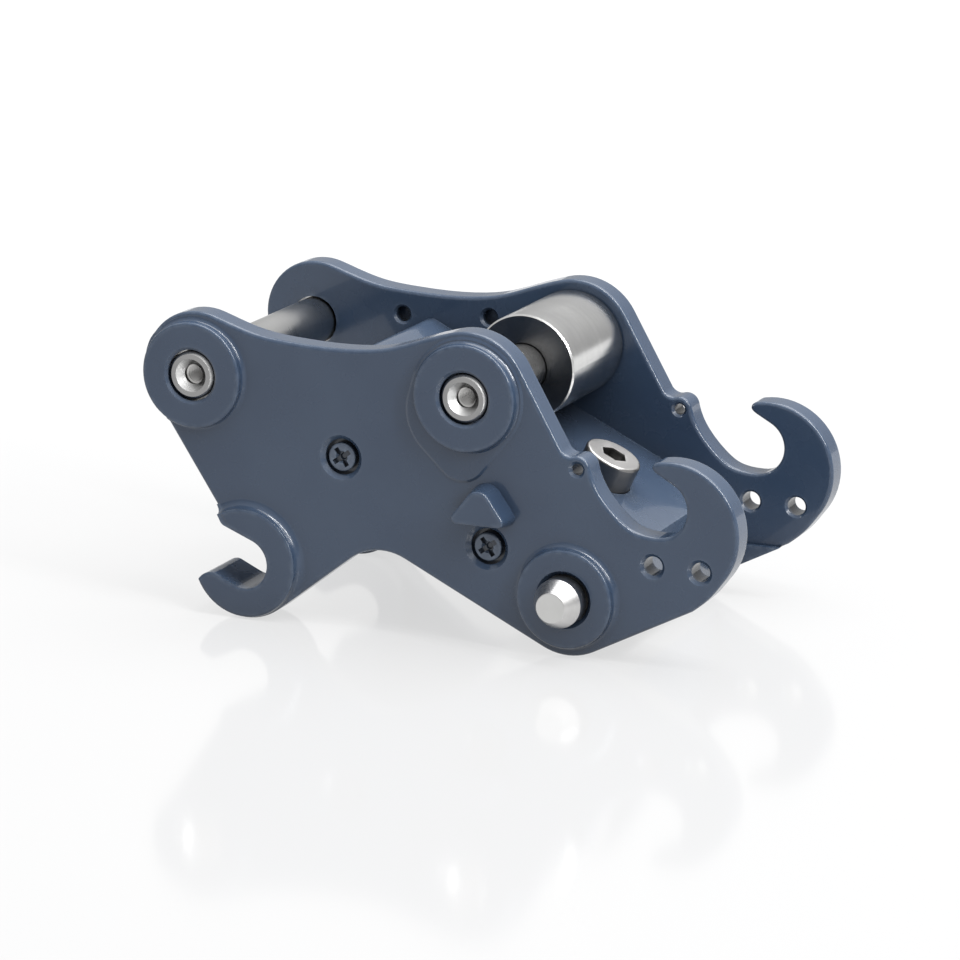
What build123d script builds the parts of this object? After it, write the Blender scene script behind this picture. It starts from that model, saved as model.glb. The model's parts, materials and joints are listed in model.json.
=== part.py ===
from build123d import *
import os
from math import acos, atan2, cos, degrees, hypot, radians, sin

# Quick coupler for a 1:14 model excavator, in millimetres.
#
# Everything is drawn about the stick pin: the drawing datum is that pin's axis at mid-width,
# +X towards the rear hook, +Y across the coupler, +Z up. (x, z) pairs are places in the side
# view from that datum. export() shifts the datum to the part's own frame, whose origin is the
# middle of the footprint on the ground.
DATUM = (-32.1, 0, 30.1)

# --- Across the width (distances from the mid-plane) ---
INNER = 15.0           # inner face of a side plate
OUTER = 18.5           # outer face of a side plate
BOSS = 19.75           # face of the pin bosses and of the hook pads
HOOK_INNER = 12.2      # inner face of the thick front hooks
LOCK_TIP = 23.7        # end of a lock pin's point, locked
EDGE_ROUND = 0.45      # rounding of the plate edges

# --- Pin axes in the side view ---
STICK_PIN = (0.0, 0.0)
LINK_PIN = (36.4, 0.5)
LOCK_PIN = (49.45, -22.8)
PIN_R = 3.0
LOOSE_BORE_R = 3.2     # painted bores of the stick and link pins
BORE_RIM_R = 3.55
SLIDING_BORE_R = 3.05  # bores of the lock pins
PIN_HALF = 19.6
PIN_CHAMFER = 0.35
PIN_THREAD_R = 1.25
PIN_THREAD_DEPTH = 7.0
PIN_SINK_R = 2.05
PIN_SINK_DEPTH = 0.85

# --- Hooks ---
FRONT_HOOK = (6.9, -23.0)
FRONT_SEAT_R = 3.2
FRONT_HOOK_R = 7.1
HOOK_PAD_R = 6.85      # the thick pad of a front hook
HOOK_PAD_ROUND = 0.3
LIP_TIP = (3.35, -17.2)
FRONT_EDGE = (0.545, -0.838)
REAR_HOOK = (61.0, -10.75)
REAR_SEAT_R = 3.5
REAR_BACK = (62.5, -13.5)
REAR_BACK_R = 8.55

# --- Plate lobes ---
NOSE = (0.35, 0.6)
NOSE_R = 7.2
LINK_LOBE_R = 7.9
LOCK_LOBE_R = 7.3

PAD_STEP = 0.18         # height of the low pad round the link pin
PAD_SOFT = 0.15

# --- Block between the plates: a bar that slopes down to the rear along the lock-pin line ---
SLOPE = 26.0
BLOCK_TOP = 7.85       # above the lock-pin axis, square to the slope
BLOCK_BOTTOM = -7.2
BLOCK_FRONT = -41.0    # along the slope from the lock-pin axis
BLOCK_REAR_X = 56.0

# --- Lock: wedge nut between the lock pins, driven by the lock screw ---
GROOVE_R = 2.75        # wiper groove of a lock pin, half hidden in its boss
GROOVE_START = 18.9
GROOVE_END = 19.8
FREE_END = 21.58       # where a lock pin's point begins
POINT_R = 1.8
SCREW_U = -7.15        # lock screw, along the slope from the lock-pin axis
SCREW_R = 2.0
SCREW_HEAD_R = 3.6
SCREW_HEAD = 4.0
SCREW_SEAT = 7.2       # floor of the counterbore, above the lock-pin axis
SCREW_SEAT_R = 3.7
SCREW_END = -5.8
HEX_FLATS = 3.0
HEX_DEPTH = 2.1
CLIP_LEVEL = 4.85      # middle of the retaining ring and of its groove
CLIP_GROOVE_R = 1.6
NOSE_HALF = 7.0        # where a lock pin's slanted inner end crosses its axis, locked
RUN = 0.05             # running clearance on each side
ROOF = 5.2             # ceiling of the wedge chamber
COVER_TOP = -6.2
COVER_FRONT = -13.5
COVER_REAR = 3.2
COVER_HALF = 12.5
COVER_SCREWS = {"front": -11.7, "rear": -1.2}
COVER_SCREW_Y = 10.6
CHAMBER_FRONT = -10.5
CHAMBER_REAR = 2.3
CHAMBER_HALF = 9.25
COLLAR_R = 3.9
COLLAR_START = 9.2
COLLAR_END = 10.4
SPRING_SEAT = 13.6
SPRING_BORE_R = 4.0
SPRING_MEAN_R = 3.5
SPRING_WIRE_R = 0.25
SPRING_TURNS = 4

# --- Frame screws, M2 pan head, cross recess ---
FRAME_SCREWS = {"front": (19.7, -8.6), "rear": (39.0, -17.75)}
HEAD_R = 1.8
HEAD_HEIGHT = 1.3
RECESS_R = 2.25
RECESS_MOUTH = 0.55
RECESS_DEPTH = 1.55
CROSS_ARM = (2.6, 0.62)
CROSS_DEPTH = 0.65
SHANK_R = 0.95
SHANK_BORE_R = 1.0
SHANK_END = 10.6

# --- Small holes: (place, radius, chamfer) ---
PIVOT_HOLES = [((60.3, -17.8), 1.175, 0.4), ((66.3, -17.9), 1.175, 0.4)]
NOTCH_HOLE = ((50.6, -7.0), 0.7, 0.35)
INNER_CHAMFER = 0.3
BLIND_HOLES = [(12.6, 1.9), (24.7, 2.5)]
BLIND_R = 1.0
BLIND_DEPTH = 1.6

SLEEVE_R = 6.65
SLEEVE_BORE_R = 3.1
SLEEVE_SPAN = (-1.2, 14.9)


# ---------------------------------------------------------------- helpers
def turned(direction, degrees_left):
    """A side-view direction turned to the left."""
    a = radians(degrees_left)
    x, z = direction
    return (x * cos(a) - z * sin(a), x * sin(a) + z * cos(a))


def step(point, direction, distance):
    return (point[0] + direction[0] * distance, point[1] + direction[1] * distance)


def on_circle(centre, radius, angle):
    """The point of a circle at an angle in degrees from +X."""
    return step(centre, (cos(radians(angle)), sin(radians(angle))), radius)


def angle_to(centre, point):
    return degrees(atan2(point[1] - centre[1], point[0] - centre[0]))


def touch(point, centre, radius, side):
    """Where the line from a point touches a circle; side is +1 or -1 round the circle."""
    distance = hypot(point[0] - centre[0], point[1] - centre[1])
    spread = degrees(acos(radius / distance))
    return on_circle(centre, radius, angle_to(centre, point) + side * spread)


def arc(centre, radius, start, end):
    """The edge of a circle from one angle to another, the way the numbers run."""
    return ThreePointArc(on_circle(centre, radius, start), on_circle(centre, radius, (start + end) / 2),
                         on_circle(centre, radius, end))


def slab(face, low, high):
    """A side-view face drawn in XY, made solid from y = low to y = high."""
    return Pos(0, high, 0) * Rot(90, 0, 0) * extrude(face, high - low)


def rounded_slab(face, low, high, radius):
    body = slab(face, low, high)
    rims = [e for e in body.edges() if abs(e.bounding_box().max.Y - e.bounding_box().min.Y) < 1e-4]
    return fillet(rims, radius)


def rod(centre, radius, low, high):
    """A round bar along Y."""
    return Pos(centre[0], high, centre[1]) * Rot(90, 0, 0) * extrude(Circle(radius), high - low)


def cone(centre, low_radius, high_radius, low, high):
    """A frustum along Y, low_radius at y = low."""
    length = high - low
    body = Cone(low_radius, high_radius, length)
    return Pos(centre[0], (low + high) / 2, centre[1]) * Rot(-90, 0, 0) * body


def turned_profile(points):
    """A solid of revolution about Z from (radius, height) points."""
    return revolve(Plane.XZ * make_face(Polyline(*points, close=True)), Axis.Z)


def block_frame():
    """Frame on the lock-pin axis: X down the slope to the rear, Z square to the slope."""
    along, down = down_slope()
    return Plane(origin=(LOCK_PIN[0], 0, LOCK_PIN[1]), x_dir=(along, 0, down), z_dir=(-down, 0, along))


def down_slope():
    return (cos(radians(SLOPE)), -sin(radians(SLOPE)))


def in_block(shape):
    return block_frame().location * shape


def mirrored(shape):
    return mirror(shape, about=Plane.XZ)


def export(shape, node):
    shape = Pos(*DATUM) * shape
    shape.label = node
    export_step(shape, f"parts/{node}.step")


# ---------------------------------------------------------------- side plates
def plate_outline():
    """The side view of a plate, clockwise from the front edge."""
    # Front edge, nose and the hollow top edge.
    nose_start = angle_to((0, 0), turned(FRONT_EDGE, -90)) + 360
    nose_end = 72.0
    lobe_start = 105.0
    rear_edge = (0.494, -0.87)
    lobe_end = angle_to((0, 0), turned(rear_edge, 90))
    top = Spline(on_circle(NOSE, NOSE_R, nose_end), (8.4, 5.65), (13.5, 5.05), (19.3, 4.85), (25.5, 5.4),
                 on_circle(LINK_PIN, LINK_LOBE_R, lobe_start),
                 tangents=[turned((1, 0), nose_end - 90), turned((1, 0), lobe_start - 90)])
    # Rear edge, the little lobe round the notch hole, and the slope down to the rear seat.
    lobe_foot = on_circle(LINK_PIN, LINK_LOBE_R, lobe_end)
    rear_foot = step(lobe_foot, rear_edge, 10.6)
    bump_start = on_circle(NOTCH_HOLE[0], 1.6, 108)
    bump_end = on_circle(NOTCH_HOLE[0], 1.6, 12)
    notch = Spline(rear_foot, bump_start, tangents=[rear_edge, turned((1, 0), 18)])
    seat_slope = Spline(bump_end, (53.6, -9.9), (56.2, -12.75), on_circle(REAR_HOOK, REAR_SEAT_R, -90),
                        tangents=[turned((1, 0), 12 - 90), (1, 0)])
    # Rear hook: seat, lip, back, and the run down to the lock-pin lobe.
    seat_end = on_circle(REAR_HOOK, REAR_SEAT_R, 61)
    lip_end = step(seat_end, turned((1, 0), 151), 1.75)
    lip_top = on_circle(REAR_BACK, REAR_BACK_R, 100)
    lip = Spline(lip_end, (60.1, -5.85), lip_top, tangents=[turned((1, 0), 151), turned((1, 0), 10)])
    back_end = on_circle(REAR_BACK, REAR_BACK_R, -38)
    heel = (65.3, -22.85)
    back_run = Spline(back_end, (67.6, -20.85), heel, tangents=[turned((1, 0), -128), turned((1, 0), -143)])
    lock_start = touch(heel, LOCK_PIN, LOCK_LOBE_R, -1)
    # Bottom edge along the slope, the arch, and the front hook.
    lock_end = -90.0 - SLOPE
    lock_foot = on_circle(LOCK_PIN, LOCK_LOBE_R, lock_end)
    arch_corner = step(lock_foot, (-down_slope()[0], -down_slope()[1]), 24.6)
    hook_start = touch(arch_corner, FRONT_HOOK, FRONT_HOOK_R, -1)
    hook_end = -152.0
    lower_lip = on_circle(FRONT_HOOK, FRONT_HOOK_R - 0.05, hook_end)
    seat_low = on_circle(FRONT_HOOK, FRONT_SEAT_R, -115)
    seat_high = on_circle(FRONT_HOOK, FRONT_SEAT_R, 68)
    lip_foot = step(seat_low, turned((1, 0), 155), 2.9)
    upper_lip = step(seat_high, turned((1, 0), 158), 4.1)
    edges = [
        Line(LIP_TIP, on_circle(NOSE, NOSE_R, nose_start)),
        arc(NOSE, NOSE_R, nose_start, nose_end),
        top,
        arc(LINK_PIN, LINK_LOBE_R, lobe_start, lobe_end),
        Line(lobe_foot, rear_foot),
        notch,
        arc(NOTCH_HOLE[0], 1.6, 108, 12),
        seat_slope,
        arc(REAR_HOOK, REAR_SEAT_R, -90, 61),
        Line(seat_end, lip_end),
        lip,
        arc(REAR_BACK, REAR_BACK_R, 100, -38),
        back_run,
        Line(heel, lock_start),
        arc(LOCK_PIN, LOCK_LOBE_R, angle_to(LOCK_PIN, lock_start), lock_end),
        Line(lock_foot, arch_corner),
        Line(arch_corner, hook_start),
        arc(FRONT_HOOK, FRONT_HOOK_R, angle_to(FRONT_HOOK, hook_start), hook_end),
        Spline(on_circle(FRONT_HOOK, FRONT_HOOK_R, hook_end), lip_foot,
               tangents=[turned((1, 0), hook_end - 90), turned((1, 0), -25)]),
        Line(lip_foot, seat_low),
        arc(FRONT_HOOK, FRONT_SEAT_R, -115, 68),
        Line(seat_high, upper_lip),
        Spline(upper_lip, LIP_TIP, tangents=[turned((1, 0), 158), turned(FRONT_EDGE, 180)]),
    ]
    face = make_face(edges)
    arch = face.vertices().sort_by_distance((arch_corner[0], arch_corner[1], 0))[0]
    return fillet(arch, 7.0)


def boss(centre, radius, height, rim, flare, base):
    """A round boss on an outer face: rounded rim, straight wall and a hollow flare at its foot."""
    half = sin(radians(45))
    top = radius - rim
    wall_top = height - rim
    dip = flare * (1 - half)
    profile = make_face([
        Line((0, 0), (radius + flare, 0)),
        ThreePointArc((radius + flare, 0), (radius + dip, dip), (radius, flare)),
        Line((radius, flare), (radius, wall_top)),
        ThreePointArc((radius, wall_top), (top + rim * half, wall_top + rim * half), (top, height)),
        Line((top, height), (0, height)),
        Line((0, height), (0, 0)),
    ])
    body = revolve(Plane.XZ * profile, Axis.Z)
    return Pos(centre[0], -base, centre[1]) * Rot(90, 0, 0) * body


def link_pad():
    """The low teardrop pad round the link-pin boss."""
    collar = Pos(*LINK_PIN) * Circle(7.35)
    belly = Pos(34.9, -1.6) * Circle(6.5)
    toe = Pos(35.7, -6.55) * Circle(3.5)
    return make_hull(collar.edges() + belly.edges() + toe.edges())


def stop_lug():
    """The raised, rounded three-cornered stop on the outer face."""
    face = make_face(Polyline((33.9, -14.9), (43.7, -14.9), (39.1, -8.4), close=True))
    face = fillet(face.vertices().sort_by(Axis.Y)[-1], 2.1)
    face = fillet(face.vertices().sort_by(Axis.Y)[:2], 1.1)
    lug = extrude(face, 2.9, taper=9)
    lug = fillet(lug.faces().sort_by(Axis.Z)[-1].edges(), 0.3)
    return Pos(0, -OUTER, 0) * Rot(90, 0, 0) * lug


def plate_bores():
    """Everything that is cut from the left plate."""
    cuts = []
    for centre in (STICK_PIN, LINK_PIN):
        cuts.append(rod(centre, LOOSE_BORE_R, -BOSS - 1, -HOOK_INNER))
        cuts.append(cone(centre, BORE_RIM_R + 0.1, LOOSE_BORE_R, -BOSS - 0.1, -BOSS + 0.35))
    cuts.append(rod(LOCK_PIN, SLIDING_BORE_R, -BOSS - 1, -HOOK_INNER))
    cuts.append(cone(LOCK_PIN, BORE_RIM_R + 0.1, SLIDING_BORE_R, -BOSS - 0.1, -BOSS + 0.55))
    for centre, radius, rim in PIVOT_HOLES + [NOTCH_HOLE]:
        cuts.append(rod(centre, radius, -OUTER - 1, -INNER + 1))
        cuts.append(cone(centre, radius + rim + 0.1, radius, -OUTER - 0.1, -OUTER + rim))
        cuts.append(inner_mouth(centre, radius))
    for centre in BLIND_HOLES:
        cuts.append(rod(centre, BLIND_R, -INNER - BLIND_DEPTH, -INNER + 1))
        cuts.append(inner_mouth(centre, BLIND_R))
    for centre in FRAME_SCREWS.values():
        cuts.append(rod(centre, RECESS_R, -OUTER - 5, -OUTER + RECESS_DEPTH))
        mouth = RECESS_R + RECESS_MOUTH + 0.1
        cuts.append(cone(centre, mouth, RECESS_R, -OUTER - 0.1, -OUTER + RECESS_MOUTH))
        cuts.append(rod(centre, SHANK_BORE_R, -OUTER - 1, -INNER + 1))
    return cuts


def inner_mouth(centre, radius):
    """The chamfer of a hole at the plate's inner face."""
    return cone(centre, radius, radius + INNER_CHAMFER + 0.1, -INNER - INNER_CHAMFER, -INNER + 0.1)


def hook_pad(outline):
    """The side view of a front hook's thick pad, kept off the plate's rounded front edge."""
    face = outline & Pos(*FRONT_HOOK) * Circle(HOOK_PAD_R)
    edge_strip = Rectangle(2 * EDGE_ROUND, 8)
    turn = angle_to((0, 0), FRONT_EDGE) + 90
    return face - Pos(*LIP_TIP) * Rot(0, 0, turn) * edge_strip


def link_pad_relief():
    """The link pad as a low step with a soft edge."""
    pad = extrude(link_pad(), PAD_STEP + 0.5)
    top = pad.faces().sort_by(Axis.Z)[-1]
    pad = chamfer(top.edges(), 2 * PAD_SOFT, PAD_SOFT, reference=top)
    return Pos(0, -OUTER + 0.5, 0) * Rot(90, 0, 0) * pad


def plate_reliefs(outline):
    """Everything that stands on the left plate's flat faces."""
    raised = slab(outline, -BOSS, -OUTER + 1)
    hook_face = hook_pad(outline)
    hook_flare = boss(FRONT_HOOK, HOOK_PAD_R - 0.02, 1.2, 0.05, 1.1, OUTER)
    gusset = Pos(61.5, -27.3) * Rectangle(9.0, 8.0) & outline
    return [
        rounded_slab(hook_face, -BOSS, -HOOK_INNER, HOOK_PAD_ROUND),
        hook_flare & slab(outline, -OUTER - 2, -OUTER + 1),
        boss(STICK_PIN, 6.6, BOSS - OUTER, 0.3, 0.6, OUTER) & raised,
        boss(LINK_PIN, 6.55, BOSS - OUTER, 0.3, 0.85, OUTER) & raised,
        boss(LOCK_PIN, 6.1, BOSS - OUTER, 0.3, 0.75, OUTER) & raised,
        link_pad_relief(),
        slab(gusset, -INNER - 0.5, -INNER + 0.8),
        stop_lug(),
    ]


def side_plate():
    """The left plate; the right one is its mirror image."""
    outline = plate_outline()
    plate = rounded_slab(outline, -OUTER, -INNER, EDGE_ROUND)
    for relief in plate_reliefs(outline):
        plate += relief
    for cut in plate_bores():
        plate -= cut
    return plate


# ---------------------------------------------------------------- block, cover and springs
def block_profile():
    """The solid bar between the plates, before its chamber and bores."""
    length = 70.0
    height = BLOCK_TOP - BLOCK_BOTTOM
    bar = Pos(BLOCK_FRONT + length / 2, 0, (BLOCK_TOP + BLOCK_BOTTOM) / 2) * Box(length, 2 * INNER, height)
    ridge = bar.edges().filter_by(Axis.Y).group_by(Axis.X)[0].sort_by(Axis.Z)[-1]
    bar = fillet(ridge, 1.5)
    bar = in_block(bar)
    reach = Pos(BLOCK_REAR_X - 40, 0, 0) * Box(80, 4 * INNER, 120)
    inside = slab(plate_outline(), -INNER, INNER)
    return bar & reach & inside


def cover_room():
    """The shallow seat of the chamber cover, in the block's own frame."""
    middle = Pos((COVER_FRONT + COVER_REAR) / 2, 0, (BLOCK_BOTTOM + COVER_TOP) / 2)
    return middle * Box(COVER_REAR - COVER_FRONT, 2 * COVER_HALF, COVER_TOP - BLOCK_BOTTOM)


def cover_screw_places():
    return [(u, y) for u in COVER_SCREWS.values() for y in (-COVER_SCREW_Y, COVER_SCREW_Y)]


def center_block():
    block = block_profile()
    chamber_length = CHAMBER_REAR - CHAMBER_FRONT
    chamber = Pos((CHAMBER_REAR + CHAMBER_FRONT) / 2, 0, (ROOF - 9) / 2)
    chamber = chamber * Box(chamber_length, 2 * CHAMBER_HALF, ROOF + 9)
    screw_bore = Pos(SCREW_U, 0, 6) * Cylinder(SCREW_R + 0.15, 8)
    screw_seat = Pos(SCREW_U, 0, SCREW_SEAT + 5) * Cylinder(SCREW_SEAT_R, 10)
    block -= in_block(chamber)
    block -= in_block(cover_room())
    block -= in_block(screw_bore)
    block -= in_block(screw_seat)
    for u, y in cover_screw_places():
        block -= in_block(Pos(u, y, COVER_TOP + 0.5) * Cylinder(SHANK_BORE_R, 3))
    block -= rod(LOCK_PIN, SPRING_BORE_R, -SPRING_SEAT, SPRING_SEAT)
    block -= rod(LOCK_PIN, SLIDING_BORE_R, -INNER - 1, INNER + 1)
    for centre in FRAME_SCREWS.values():
        for side in (-1, 1):
            low, high = sorted((side * (SHANK_END - 0.4), side * (INNER + 1)))
            block -= rod(centre, SHANK_BORE_R, low, high)
    return block


def chamber_cover():
    """The thin plate that closes the wedge chamber from below."""
    cover = in_block(cover_room()) & block_profile()
    for u, y in cover_screw_places():
        cover -= in_block(Pos(u, y, BLOCK_BOTTOM) * Cylinder(SHANK_BORE_R, 5))
        cover -= in_block(Pos(u, y, BLOCK_BOTTOM + 0.3) * Cone(1.75, 1.0, 0.7))
    return cover


def cover_screw(u):
    """The left flat-head screw at a place down the slope, flush with the cover."""
    head = Pos(0, 0, 0.35) * Cone(1.65, SHANK_R, 0.7)
    shank = Pos(0, 0, 1.5) * Cylinder(SHANK_R, 2.6)
    slot = Pos(0, 0, 0.1) * (Box(2.0, 0.45, 0.5) + Box(0.45, 2.0, 0.5))
    return in_block(Pos(u, -COVER_SCREW_Y, BLOCK_BOTTOM) * (head + shank - slot))


def pin_spring():
    """The return spring of the left lock pin, round the pin between its collar and the block."""
    pitch = (SPRING_SEAT - COLLAR_END - 2 * SPRING_WIRE_R - 0.1) / SPRING_TURNS
    path = Helix(pitch, pitch * SPRING_TURNS, SPRING_MEAN_R)
    wire = Plane(origin=path @ 0, z_dir=path % 0) * Circle(SPRING_WIRE_R)
    coil = sweep(wire, path, is_frenet=True)
    start = COLLAR_END + SPRING_WIRE_R + 0.05
    return Pos(LOCK_PIN[0], -start, LOCK_PIN[1]) * Rot(90, 0, 0) * coil


# ---------------------------------------------------------------- pins, sleeve and lock
def through_pin(centre):
    """A plain pin with a chamfer and a countersunk thread hole at each end."""
    pin = Cylinder(PIN_R, 2 * PIN_HALF)
    pin = chamfer(pin.edges(), PIN_CHAMFER)
    thread = Pos(0, 0, PIN_HALF - PIN_THREAD_DEPTH / 2) * Cylinder(PIN_THREAD_R, PIN_THREAD_DEPTH)
    sink = Pos(0, 0, PIN_HALF - PIN_SINK_DEPTH / 2) * Cone(PIN_THREAD_R, PIN_SINK_R, PIN_SINK_DEPTH)
    for end in (thread, sink):
        pin -= end
        pin -= mirror(end, about=Plane.XY)
    return Pos(centre[0], 0, centre[1]) * Rot(90, 0, 0) * pin


def link_sleeve():
    low, high = SLEEVE_SPAN
    sleeve = Cylinder(SLEEVE_R, high - low)
    sleeve = chamfer(sleeve.edges(), 0.2)
    sleeve -= Cylinder(SLEEVE_BORE_R, high - low + 1)
    return Pos(LINK_PIN[0], (low + high) / 2, LINK_PIN[1]) * Rot(90, 0, 0) * sleeve


def lock_pin():
    """The left lock pin: point, shank, spring collar and a narrow nose cut slant to suit the wedge."""
    pin = turned_profile([(0, COLLAR_START), (COLLAR_R, COLLAR_START), (COLLAR_R, COLLAR_END),
                          (PIN_R, COLLAR_END), (PIN_R, GROOVE_START), (GROOVE_R, GROOVE_START),
                          (GROOVE_R, GROOVE_END), (PIN_R, GROOVE_END), (PIN_R, FREE_END),
                          (POINT_R + 0.05, LOCK_TIP - 0.05), (POINT_R - 0.05, LOCK_TIP), (0, LOCK_TIP)])
    pin = Rot(90, 0, 0) * pin
    pin = in_block(Rot(0, SLOPE, 0) * pin)
    nose = in_block(Pos(0, -6.5, 0) * Rot(90, 0, 0) * Cylinder(2.0, 6.0))
    return pin + nose - wedge_flanks(RUN)


def wedge_flanks(clearance):
    """The wedge's full V across the width: half-width NOSE_HALF on the lock-pin axis, 45 degrees."""
    high = NOSE_HALF
    low = -4.0
    wide = (NOSE_HALF - low) + clearance
    thin = clearance
    vee = make_face(Polyline((-wide, low), (wide, low), (thin, high), (-thin, high), close=True))
    return in_block(Pos(-5, 0, 0) * extrude(Plane.YZ * vee, 10))


def wedge_nut():
    """The nut on the lock screw with its wedge tail between the two lock pins."""
    top = 4.2
    bottom = -2.0
    span_front = CHAMBER_FRONT + 0.1
    span_rear = CHAMBER_REAR - 0.1
    vee = make_face(Polyline((-(NOSE_HALF - bottom), bottom), (NOSE_HALF - bottom, bottom),
                             (NOSE_HALF - top, top), (-(NOSE_HALF - top), top), close=True))
    body = Pos(span_front, 0, 0) * extrude(Plane.YZ * vee, span_rear - span_front)
    body -= Pos(SCREW_U, 0, 0) * Cylinder(SCREW_R + 0.02, 20)
    return in_block(body)


def lock_screw():
    """M4 socket-head screw, its axis square to the block's top face."""
    under = SCREW_SEAT + RUN
    top = under + SCREW_HEAD
    head = Pos(0, 0, under + SCREW_HEAD / 2) * Cylinder(SCREW_HEAD_R, SCREW_HEAD)
    head = fillet(head.edges().group_by(Axis.Z)[-1], 0.35)
    shank = Pos(0, 0, (top - 1 + SCREW_END) / 2) * Cylinder(SCREW_R - 0.03, top - 1 - SCREW_END)
    shank = chamfer(shank.edges().group_by(Axis.Z)[0], 0.35)
    groove = Pos(0, 0, CLIP_LEVEL) * (Cylinder(3, 0.6) - Cylinder(CLIP_GROOVE_R, 0.6))
    socket = Pos(0, 0, top - HEX_DEPTH) * extrude(hexagon(), HEX_DEPTH + 1)
    drill_point = Pos(0, 0, top - HEX_DEPTH - 0.2) * Cone(0.1, 1.5, 0.5)
    screw = head + shank - groove - socket - drill_point
    return in_block(Pos(SCREW_U, 0, 0) * screw)


def hexagon():
    return RegularPolygon(HEX_FLATS / 2, 6, major_radius=False)


def screw_clip():
    """The open retaining ring that keeps the lock screw in the block's roof."""
    ring = Cylinder(3.2, 0.5) - Cylinder(CLIP_GROOVE_R + RUN, 0.5)
    ring -= Pos(0, 3, 0) * Box(2.2, 6, 1)
    ring = Pos(0, 0, CLIP_LEVEL) * ring
    return in_block(Pos(SCREW_U, 0, 0) * ring)


def frame_screw(centre):
    """A left-hand-side pan-head screw with a cross recess, standing in the plate's recess."""
    seat = OUTER - RECESS_DEPTH
    head = Pos(0, 0, seat + HEAD_HEIGHT / 2) * Cylinder(HEAD_R, HEAD_HEIGHT)
    head = fillet(head.edges().group_by(Axis.Z)[-1], 0.3)
    shank = Pos(0, 0, (seat + SHANK_END) / 2) * Cylinder(SHANK_R, seat - SHANK_END)
    length, width = CROSS_ARM
    cross = Box(length, width, 2 * CROSS_DEPTH) + Box(width, length, 2 * CROSS_DEPTH)
    cross = Pos(0, 0, seat + HEAD_HEIGHT) * Rot(0, 0, 35) * cross
    pit = Pos(0, 0, seat + HEAD_HEIGHT - 0.3) * Cone(0.3, 0.95, 1.2)
    screw = head + shank - cross - pit
    return Pos(centre[0], 0, centre[1]) * Rot(90, 0, 0) * screw


def main():
    os.makedirs("parts", exist_ok=True)
    plate = side_plate()
    export(plate, "side_plate_left")
    export(mirrored(plate), "side_plate_right")
    export(center_block(), "center_block")
    export(chamber_cover(), "chamber_cover")
    for name, u in COVER_SCREWS.items():
        screw = cover_screw(u)
        export(screw, f"cover_screw_{name}_left")
        export(mirrored(screw), f"cover_screw_{name}_right")
    for name, centre in FRAME_SCREWS.items():
        screw = frame_screw(centre)
        export(screw, f"frame_screw_{name}_left")
        export(mirrored(screw), f"frame_screw_{name}_right")
    export(through_pin(STICK_PIN), "stick_pin")
    export(through_pin(LINK_PIN), "link_pin")
    export(link_sleeve(), "link_sleeve")
    pin = lock_pin()
    export(pin, "lock_pin_left")
    export(mirrored(pin), "lock_pin_right")
    spring = pin_spring()
    export(spring, "pin_spring_left")
    export(mirrored(spring), "pin_spring_right")
    export(wedge_nut(), "wedge_nut")
    export(lock_screw(), "lock_screw")
    export(screw_clip(), "screw_clip")


main()
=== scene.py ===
import json
from math import cos, pi, radians, sin

import bpy
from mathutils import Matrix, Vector


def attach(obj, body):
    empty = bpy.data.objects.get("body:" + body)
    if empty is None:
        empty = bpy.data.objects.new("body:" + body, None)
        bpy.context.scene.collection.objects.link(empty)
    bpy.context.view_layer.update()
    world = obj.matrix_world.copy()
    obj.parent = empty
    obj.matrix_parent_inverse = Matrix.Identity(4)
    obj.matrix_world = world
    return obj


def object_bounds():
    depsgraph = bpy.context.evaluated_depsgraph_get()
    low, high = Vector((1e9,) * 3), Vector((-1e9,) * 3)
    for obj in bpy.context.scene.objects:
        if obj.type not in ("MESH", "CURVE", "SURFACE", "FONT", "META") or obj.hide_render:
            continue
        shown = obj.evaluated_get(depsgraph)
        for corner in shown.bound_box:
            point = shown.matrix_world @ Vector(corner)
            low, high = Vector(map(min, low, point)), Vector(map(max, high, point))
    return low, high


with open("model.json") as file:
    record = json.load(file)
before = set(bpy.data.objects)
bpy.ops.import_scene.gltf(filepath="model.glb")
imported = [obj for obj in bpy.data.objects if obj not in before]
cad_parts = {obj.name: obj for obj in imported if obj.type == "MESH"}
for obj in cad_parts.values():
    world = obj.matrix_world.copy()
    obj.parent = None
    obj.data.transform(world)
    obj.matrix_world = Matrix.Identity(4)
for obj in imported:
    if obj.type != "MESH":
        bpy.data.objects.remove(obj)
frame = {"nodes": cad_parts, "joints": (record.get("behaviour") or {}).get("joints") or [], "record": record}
cad_low, cad_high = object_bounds()

# The quick coupler's looks: materials for the CAD nodes, the cut threads in the pin ends, and a
# high-key studio. Everything is in metres in the part's own frame.
MM = 0.001


# ---------------------------------------------------------------- node helpers
def add(tree, kind, inputs=None, **settings):
    """Adds a shader node and returns its outputs; an input is a value or another node's output."""
    made = tree.nodes.new("ShaderNode" + kind)
    for key, value in settings.items():
        setattr(made, key, value)
    for key, value in (inputs or {}).items():
        feed(tree, made.inputs[key], value)
    return made.outputs


def feed(tree, socket, value):
    if isinstance(value, bpy.types.NodeSocket):
        tree.links.new(value, socket)
    else:
        socket.default_value = value


def material(name, **fixed):
    """A new Principled material with these socket values: (material, tree, shader)."""
    made = bpy.data.materials.new(name)
    made.use_nodes = True
    shader = made.node_tree.nodes["Principled BSDF"]
    for key, value in fixed.items():
        shader.inputs[key.replace("_", " ")].default_value = value
    return made, made.node_tree, shader


def place(tree):
    """The object coordinates, which are the part frame at rest, in metres."""
    return add(tree, "TexCoord")["Object"]


def noise(tree, vector, scale, detail=2.0, roughness=0.5):
    sockets = {"Vector": vector, "Scale": scale, "Detail": detail, "Roughness": roughness}
    return add(tree, "TexNoise", sockets)[0]


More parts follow.
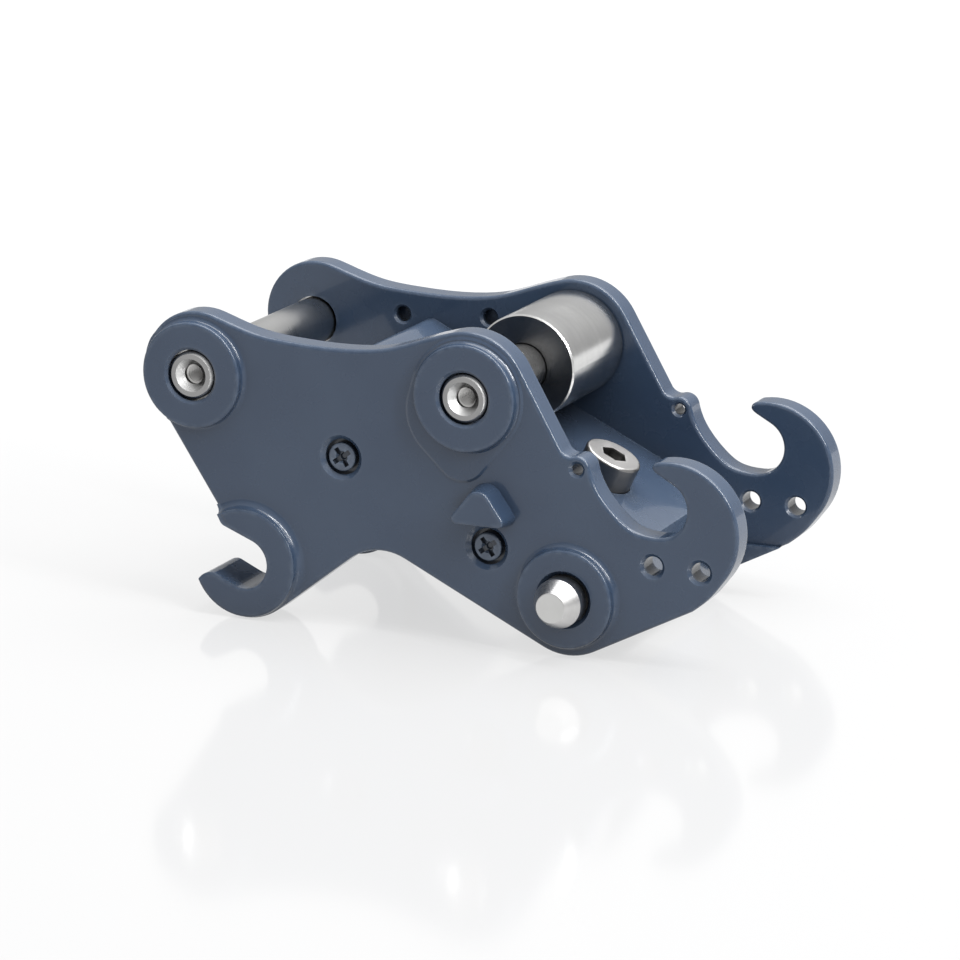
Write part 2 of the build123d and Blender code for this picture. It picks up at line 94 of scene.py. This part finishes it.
def spread(tree, value, low, high, to_low=0.0, to_high=1.0):
    """A value's stretch from low to high, laid out from to_low to to_high."""
    return add(tree, "MapRange", {"Value": value, "From Min": low, "From Max": high,
                                  "To Min": to_low, "To Max": to_high})[0]


def maths(tree, operation, *values):
    return add(tree, "Math", dict(enumerate(values)), operation=operation)[0]


def blend(tree, share, first, second):
    """Colour first at share 0 and second at share 1."""
    return add(tree, "Mix", {0: share, 6: first, 7: second}, data_type="RGBA")[2]


def edges(tree, reach):
    """0 on flats, rising to 1 on outward edges, within reach."""
    inside = add(tree, "AmbientOcclusion", {"Distance": reach}, samples=4, inside=True)["AO"]
    return spread(tree, inside, 0.9, 0.55)


def corners(tree, reach):
    """0 in the open, rising to 1 down in corners and recesses, within reach."""
    outside = add(tree, "AmbientOcclusion", {"Distance": reach}, samples=4)["AO"]
    return spread(tree, outside, 0.8, 0.2)


def facing(tree, axis):
    """1 where the surface faces along an axis of the part frame, either way, and 0 on its sides."""
    normal = add(tree, "TexCoord")["Normal"]
    along = add(tree, "VectorMath", {0: normal, 1: axis}, operation="DOT_PRODUCT")["Value"]
    return spread(tree, maths(tree, "ABSOLUTE", along), 0.75, 0.95)


def wear_and_shade(tree, tone, mask, share, colour):
    """The tone with this share of a colour where the mask is 1."""
    return blend(tree, maths(tree, "MULTIPLY", mask, share), tone, colour)


def relief(tree, shader, height, strength, depth):
    """Bumps on the shader from a height of 0 to 1, depth metres tall."""
    bump = add(tree, "Bump", {"Strength": strength, "Distance": depth, "Height": height})[0]
    feed(tree, shader.inputs["Normal"], bump)


# ---------------------------------------------------------------- finishes
BRIGHT = (0.62, 0.62, 0.615, 1)
DULL = (0.48, 0.48, 0.48, 1)
# Painted shade for the pins' and sleeve's faces square to Y
END_FACE_SHADE = (0.31, 0.31, 0.31, 1)
# Rubbed paint edges, lighter partly as wear and partly as a painted highlight
PAINT_RUBBED_HIGHLIGHT = (0.15, 0.19, 0.25, 1)
# Painted shade for the paint's corners and recesses
PAINT_CORNER_SHADE = (0.012, 0.016, 0.024, 1)
# Turned steel darker in corners and recesses
TURNED_CORNER_DARK = (0.015, 0.015, 0.016, 1)
# Plain steel darker in corners and recesses
PLAIN_CORNER_DARK = (0.03, 0.03, 0.032, 1)
PLAIN_RUBBED = (0.85, 0.84, 0.82, 1)

# Noise scales, in features per metre
CLOUD, SHEEN, GRIT, PEEL = 90.0, 260.0, 900.0, 1500.0
TURNED_SMEAR, COARSE_RINGS, FINE_RINGS = 140.0, 1700.0, 9000.0
PLAIN_SMEAR = 170.0

# How far rubbed edges and the paint's painted edge highlight reach in from an edge, and darkening and the
# paint's painted shade reach out of a corner
PAINT_RUB_HIGHLIGHT_REACH = 0.7 * MM
PAINT_SHADE_REACH = 10 * MM
TURNED_CORNER_DARK_REACH = 3 * MM
PLAIN_CORNER_DARK_REACH = 2.5 * MM
PLAIN_RUB_REACH = 0.4 * MM

# Heights of the surface relief
PAINT_RELIEF = 0.03 * MM
TURNED_RELIEF = 0.01 * MM
PLAIN_RELIEF = 0.02 * MM


def paint(name, dark, light, shade):
    """Baked semi-gloss paint: mottled, an orange-peel skin, rubbed edges lightened partly as wear and partly
    as a painted highlight, and painted shade in its corners.

    Its shade is how far the painted shade darkens the corners."""
    made, tree, shader = material(name, IOR=1.38, Coat_Weight=0.5, Coat_Roughness=0.05)
    at = place(tree)
    cloud = spread(tree, noise(tree, at, CLOUD, 4.0), 0.35, 0.65)
    base = blend(tree, cloud, dark, light)
    grit = noise(tree, at, GRIT, 6.0, 0.65)
    # Rubbed edges, lightened partly as wear and partly as a painted highlight
    rubbed_and_lit = maths(tree, "MULTIPLY", edges(tree, PAINT_RUB_HIGHLIGHT_REACH), spread(tree, grit, 0.38, 0.62))
    base = wear_and_shade(tree, base, rubbed_and_lit, 0.45, PAINT_RUBBED_HIGHLIGHT)
    # Painted shade: corners and recesses darken by the shade share
    base = wear_and_shade(tree, base, corners(tree, PAINT_SHADE_REACH), shade, PAINT_CORNER_SHADE)
    feed(tree, shader.inputs["Base Color"], base)
    sheen = spread(tree, noise(tree, at, SHEEN, 5.0), 0.3, 0.7, 0.19, 0.32)
    feed(tree, shader.inputs["Roughness"], sheen)
    peel = noise(tree, at, PEEL)
    relief(tree, shader, maths(tree, "MULTIPLY_ADD", grit, 0.1, peel), 0.30, PAINT_RELIEF)
    return made


def turning(tree, axis_point):
    """(radius, place along Y) about a pin's axis, as a vector for turning marks."""
    off = add(tree, "VectorMath", {0: place(tree), 1: axis_point}, operation="SUBTRACT")[0]
    parts = add(tree, "SeparateXYZ", {0: off})
    across = maths(tree, "MULTIPLY", parts[0], parts[0])
    radius = maths(tree, "SQRT", maths(tree, "MULTIPLY_ADD", parts[2], parts[2], across))
    return add(tree, "CombineXYZ", {0: radius, 1: parts[1], 2: 0.0})[0]


def turned_steel(name, axis_point, base, dull, painted_end_face, low, high, anisotropy):
    """Lathe-turned steel about an axis along Y: rings, faint smears, darker corners, and faces square to Y
    in a painted tone for how the light falls on them.

    Its roughness goes from low to high."""
    made, tree, shader = material(name, Metallic=1.0, Anisotropic=anisotropy)
    at = place(tree)
    lathe = turning(tree, axis_point)
    fine = noise(tree, lathe, FINE_RINGS)
    coarse = noise(tree, lathe, COARSE_RINGS, 3.0)
    smear = noise(tree, at, TURNED_SMEAR, 5.0, 0.6)
    tone = maths(tree, "MULTIPLY_ADD", coarse, 0.5, spread(tree, smear, 0.3, 0.7, 0.0, 0.5))
    tone = blend(tree, tone, dull, base)
    # Painted light and shade: faces square to Y take the painted end-face tone
    tone = blend(tree, facing(tree, (0, 1, 0)), tone, painted_end_face)
    # Darker in its corners and recesses
    tone = wear_and_shade(tree, tone, corners(tree, TURNED_CORNER_DARK_REACH), 0.95, TURNED_CORNER_DARK)
    feed(tree, shader.inputs["Base Color"], tone)
    shine = maths(tree, "MULTIPLY_ADD", fine, 0.10, spread(tree, smear, 0.3, 0.7, low, high))
    feed(tree, shader.inputs["Roughness"], shine)
    feed(tree, shader.inputs["Tangent"], add(tree, "Tangent", direction_type="RADIAL", axis="Y")[0])
    relief(tree, shader, maths(tree, "MULTIPLY_ADD", coarse, 0.6, fine), 0.30, TURNED_RELIEF)
    return made


def plain_steel(name, base, dull, low, high, grain, worn_lit_top=None):
    """Steel as it comes: fine grain, smears, bright rubbed edges and dark corners.

    Its roughness goes from low to high; the last argument is (axis, colour) for faces square to that axis, a
    worn top that is also lighter as painted light."""
    made, tree, shader = material(name, Metallic=1.0)
    at = place(tree)
    smear = spread(tree, noise(tree, at, PLAIN_SMEAR, 5.0, 0.6), 0.3, 0.7)
    speck = noise(tree, at, grain, 4.0, 0.7)
    tone = blend(tree, smear, dull, base)
    # A screw head's top: worn, and lighter than its sides as painted light
    if worn_lit_top:
        tone = blend(tree, facing(tree, worn_lit_top[0]), tone, worn_lit_top[1])
    # Darker in its corners and recesses
    tone = wear_and_shade(tree, tone, corners(tree, PLAIN_CORNER_DARK_REACH), 0.75, PLAIN_CORNER_DARK)
    tone = wear_and_shade(tree, tone, edges(tree, PLAIN_RUB_REACH), 0.5, PLAIN_RUBBED)
    feed(tree, shader.inputs["Base Color"], tone)
    shine = maths(tree, "MULTIPLY_ADD", speck, 0.12, spread(tree, smear, 0, 1, low, high))
    feed(tree, shader.inputs["Roughness"], shine)
    relief(tree, shader, speck, 0.35, PLAIN_RELIEF)
    return made


def mount(name):
    for entry in frame["record"]["mounts"]:
        if entry["name"] == name:
            return entry


def axis_of(name):
    """A point on a pin's axis, from one of its mounts, at mid-width."""
    x, y, z = mount(name)["pos_m"]
    return (x, 0.0, z)


screw_axis = tuple(next(j["axis"] for j in frame["joints"] if j["name"] == "lock_screw_turn"))
# Paints: dark and light mottle, then how far the painted shade darkens corners and recesses, deepest in the
# block's interior and the screws' cross recesses
plate_paint = paint("slate_paint", (0.028, 0.047, 0.084, 1), (0.033, 0.054, 0.093, 1), 0.65)
# The block's paint is the plates' paint made lighter, a painted light for the overhead light on its web top
lit_block_paint = paint("lit_block_paint", (0.036, 0.055, 0.091, 1), (0.042, 0.063, 0.101, 1), 0.95)
screw_paint = paint("painted_screw", (0.044, 0.061, 0.093, 1), (0.054, 0.073, 0.107, 1), 1.0)
lock_axis = axis_of("lock_pin_left_end")
stick_axis = axis_of("stick_pin_thread_left")
link_axis = axis_of("link_pin_thread_left")
# The lock screw head: its dark base is a painted shade on its sides, and its top face is worn and lighter as
# painted light
lit_shaded_screw_steel = plain_steel("lock_screw_steel", (0.22, 0.215, 0.21, 1), (0.14, 0.14, 0.14, 1),
                          0.20, 0.34, 2600.0, (screw_axis, (0.52, 0.51, 0.50, 1)))
wire_steel = plain_steel("spring_wire", (0.42, 0.42, 0.43, 1), (0.33, 0.33, 0.34, 1),
                         0.24, 0.36, 5200.0)
clip_steel = plain_steel("clip_black_oxide", (0.11, 0.11, 0.12, 1), (0.07, 0.07, 0.075, 1),
                         0.34, 0.50, 3600.0)
wedge_steel = plain_steel("wedge_ground", (0.50, 0.49, 0.47, 1), (0.40, 0.39, 0.38, 1),
                          0.28, 0.42, 1500.0)
cover_steel = plain_steel("cover_screw_zinc", (0.55, 0.56, 0.58, 1), (0.42, 0.43, 0.45, 1),
                          0.30, 0.44, 2200.0)

# For turned steel: base, dull, painted end-face tone (painted shade on pins and sleeve, painted light on the
# lock pins' tips), lowest and highest roughness, anisotropy
PIN = (BRIGHT, DULL, END_FACE_SHADE, 0.20, 0.28, 0.70)
SLEEVE = ((0.70, 0.70, 0.69, 1), (0.56, 0.56, 0.56, 1), END_FACE_SHADE, 0.13, 0.22, 0.40)
LOCK_PIN = ((0.70, 0.69, 0.68, 1), DULL, (0.58, 0.58, 0.57, 1), 0.20, 0.30, 0.45)

FINISHES = {
    "side_plate_left": plate_paint, "side_plate_right": plate_paint,
    "center_block": lit_block_paint, "chamber_cover": lit_block_paint,
    "cover_screw_front_left": cover_steel, "cover_screw_front_right": cover_steel,
    "cover_screw_rear_left": cover_steel, "cover_screw_rear_right": cover_steel,
    "frame_screw_front_left": screw_paint, "frame_screw_front_right": screw_paint,
    "frame_screw_rear_left": screw_paint, "frame_screw_rear_right": screw_paint,
    "pin_spring_left": wire_steel, "pin_spring_right": wire_steel,
    "wedge_nut": wedge_steel, "lock_screw": lit_shaded_screw_steel, "screw_clip": clip_steel,
    "stick_pin": turned_steel("stick_pin_turned", stick_axis, *PIN),
    "link_pin": turned_steel("link_pin_turned", link_axis, *PIN),
    "link_sleeve": turned_steel("sleeve_turned", link_axis, *SLEEVE),
    "lock_pin_left": turned_steel("lock_pin_left_turned", lock_axis, *LOCK_PIN),
    "lock_pin_right": turned_steel("lock_pin_right_turned", lock_axis, *LOCK_PIN),
}
for node_name, finish in FINISHES.items():
    for material_slot in frame["nodes"][node_name].material_slots:
        material_slot.material = finish


def new_object(name, data):
    made = bpy.data.objects.new(name, data)
    bpy.context.scene.collection.objects.link(made)
    return made


# ---------------------------------------------------------------- threads in the pin ends
PITCH = 0.45 * MM
CREST = 1.03 * MM       # radius at the thread's crest
BURIED = 0.02 * MM      # how far its root is sunk in the wall
END_GAP = 1.2 * PITCH   # length of hole left without a thread
FADE_TURNS = 0.5        # turns over which an end fades out
ROOT_HALF = 0.32        # half widths of the ridge, in pitches
CREST_HALF = 0.06
STEPS = 40              # sections in a turn


def thread(name, hole, body, finish):
    """A closed helical ridge on the wall of a pin's threaded hole, fading out at both ends."""
    root = hole["dims"]["r_mm"] * MM + BURIED
    length = hole["dims"]["length_mm"] * MM - END_GAP
    turns = length / PITCH
    count = int(turns * STEPS)
    centre = Vector(hole["pos_m"])
    axis = Vector(hole["axis"])
    side = Vector((1, 0, 0))
    third = axis.cross(side)
    points = []
    for i in range(count + 1):
        t = i / count
        fade = min(1.0, t * turns / FADE_TURNS, (1 - t) * turns / FADE_TURNS)
        crest = root - (root - CREST) * fade
        angle = 2 * pi * turns * t
        out = side * cos(angle) + third * sin(angle)
        middle_y = (t - 0.5) * length
        for radius, shift in ((root, -ROOT_HALF), (crest, -CREST_HALF),
                              (crest, CREST_HALF), (root, ROOT_HALF)):
            points.append(centre + out * radius + axis * (middle_y + shift * PITCH))
    faces = [(3, 2, 1, 0)]
    for i in range(count):
        for j in range(4):
            a, b = 4 * i + j, 4 * i + (j + 1) % 4
            faces.append((a, b, b + 4, a + 4))
    last = 4 * count
    faces.append((last, last + 1, last + 2, last + 3))
    mesh = bpy.data.meshes.new(name)
    mesh.from_pydata(points, [], faces)
    mesh.materials.append(finish)
    made = new_object(name, mesh)
    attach(made, body)


# Darker steel for the cut threads, a painted shade for their place down inside the holes
shaded_thread_steel = plain_steel("cut_thread", (0.34, 0.34, 0.335, 1), (0.24, 0.24, 0.24, 1),
                           0.18, 0.28, 6000.0)
for pin_name in ("stick_pin", "link_pin"):
    for end in ("left", "right"):
        hole = mount(f"{pin_name}_thread_{end}")
        thread(f"{pin_name}_cut_thread_{end}", hole, pin_name, shaded_thread_steel)


# ---------------------------------------------------------------- studio
FLOOR_SIZE = 8.0
FLOOR_Z = -0.02 * MM            # just under the coupler's lowest points
GLOW_NEAR, GLOW_FAR = 0.02, 0.40        # where along Y the floor's glow grows, and its strengths
GLOW_LOW, GLOW_HIGH = 0.64, 0.84
SKY_TOP = 0.8                   # height in the sky where it reaches its full strength
SKY_LOW, SKY_HIGH = 0.42, 0.90
# name, azimuth, elevation, distance, width, height, power in watts
SOFTBOXES = (
    ("overhead_softbox", 150.0, 72.0, 0.9, 0.9, 0.9, 10.0),
    ("right_softbox", 75.0, 38.0, 0.8, 0.35, 0.5, 2.4),
    ("rim_strip", 68.0, 50.0, 0.8, 0.035, 0.9, 5.5),
)
# The photograph's viewing angle: degrees round to the right and degrees above.
VIEW_AZIMUTH, VIEW_ELEVATION = 23.7, 14.4
VIEW_DISTANCE = 0.538
VIEW_SHIFT = Vector((-0.00143, -0.00151, -0.00341))     # the aim, from the coupler's middle
LENS_MM, SENSOR_MM = 162.8, 36.0
CLIP_START, CLIP_END = 0.01, 20.0


def outward(azimuth, elevation):
    """The direction at these degrees, round from the camera's -Y side and up from the ground."""
    a, e = radians(azimuth), radians(elevation)
    return Vector((sin(a) * cos(e), -cos(a) * cos(e), sin(e)))


def plane(name, size, z):
    half = size / 2
    rim = [(-half, -half, z), (half, -half, z), (half, half, z), (-half, half, z)]
    mesh = bpy.data.meshes.new(name)
    mesh.from_pydata(rim, [], [(0, 1, 2, 3)])
    made = new_object(name, mesh)
    return made


def softbox(name, target, azimuth, elevation, distance, width, height, power):
    """An area light that faces the target from this azimuth, elevation and distance."""
    data = bpy.data.lights.new(name, "AREA")
    data.shape = "RECTANGLE"
    data.size = width
    data.size_y = height
    data.energy = power
    made = new_object(name, data)
    back = outward(azimuth, elevation)
    made.location = target + back * distance
    made.rotation_euler = back.to_track_quat("Z", "Y").to_euler()


middle = (cad_low + cad_high) / 2
floor = plane("studio_floor", FLOOR_SIZE, FLOOR_Z)
floor_finish, floor_tree, floor_shader = material(
    "floor_acrylic", Base_Color=(0.125, 0.125, 0.126, 1), Roughness=0.10, IOR=1.33,
    Emission_Color=(1, 1, 1, 1))
depth = add(floor_tree, "SeparateXYZ", {0: place(floor_tree)})[1]
glow = spread(floor_tree, depth, GLOW_NEAR, GLOW_FAR, GLOW_LOW, GLOW_HIGH)
feed(floor_tree, floor_shader.inputs["Emission Strength"], glow)
floor.data.materials.append(floor_finish)

for light_name, *settings in SOFTBOXES:
    softbox(light_name, middle, *settings)

world = bpy.data.worlds.new("studio")
world.use_nodes = True
bpy.context.scene.world = world
sky = world.node_tree
up = add(sky, "SeparateXYZ", {0: add(sky, "TexCoord")["Generated"]})[2]
sky_strength = spread(sky, up, 0.0, SKY_TOP, SKY_LOW, SKY_HIGH)
feed(sky, sky.nodes["Background"].inputs["Color"], (1, 1, 1, 1))
feed(sky, sky.nodes["Background"].inputs["Strength"], sky_strength)

bpy.context.scene.view_settings.view_transform = "Standard"

camera = new_object("camera", bpy.data.cameras.new("camera"))
camera.data.lens = LENS_MM
camera.data.sensor_width = SENSOR_MM
camera.data.clip_start = CLIP_START
camera.data.clip_end = CLIP_END
back = outward(VIEW_AZIMUTH, VIEW_ELEVATION)
camera.location = middle + VIEW_SHIFT + back * VIEW_DISTANCE
camera.rotation_mode = "QUATERNION"
camera.rotation_quaternion = (-back).to_track_quat("-Z", "Y")
bpy.context.scene.camera = camera
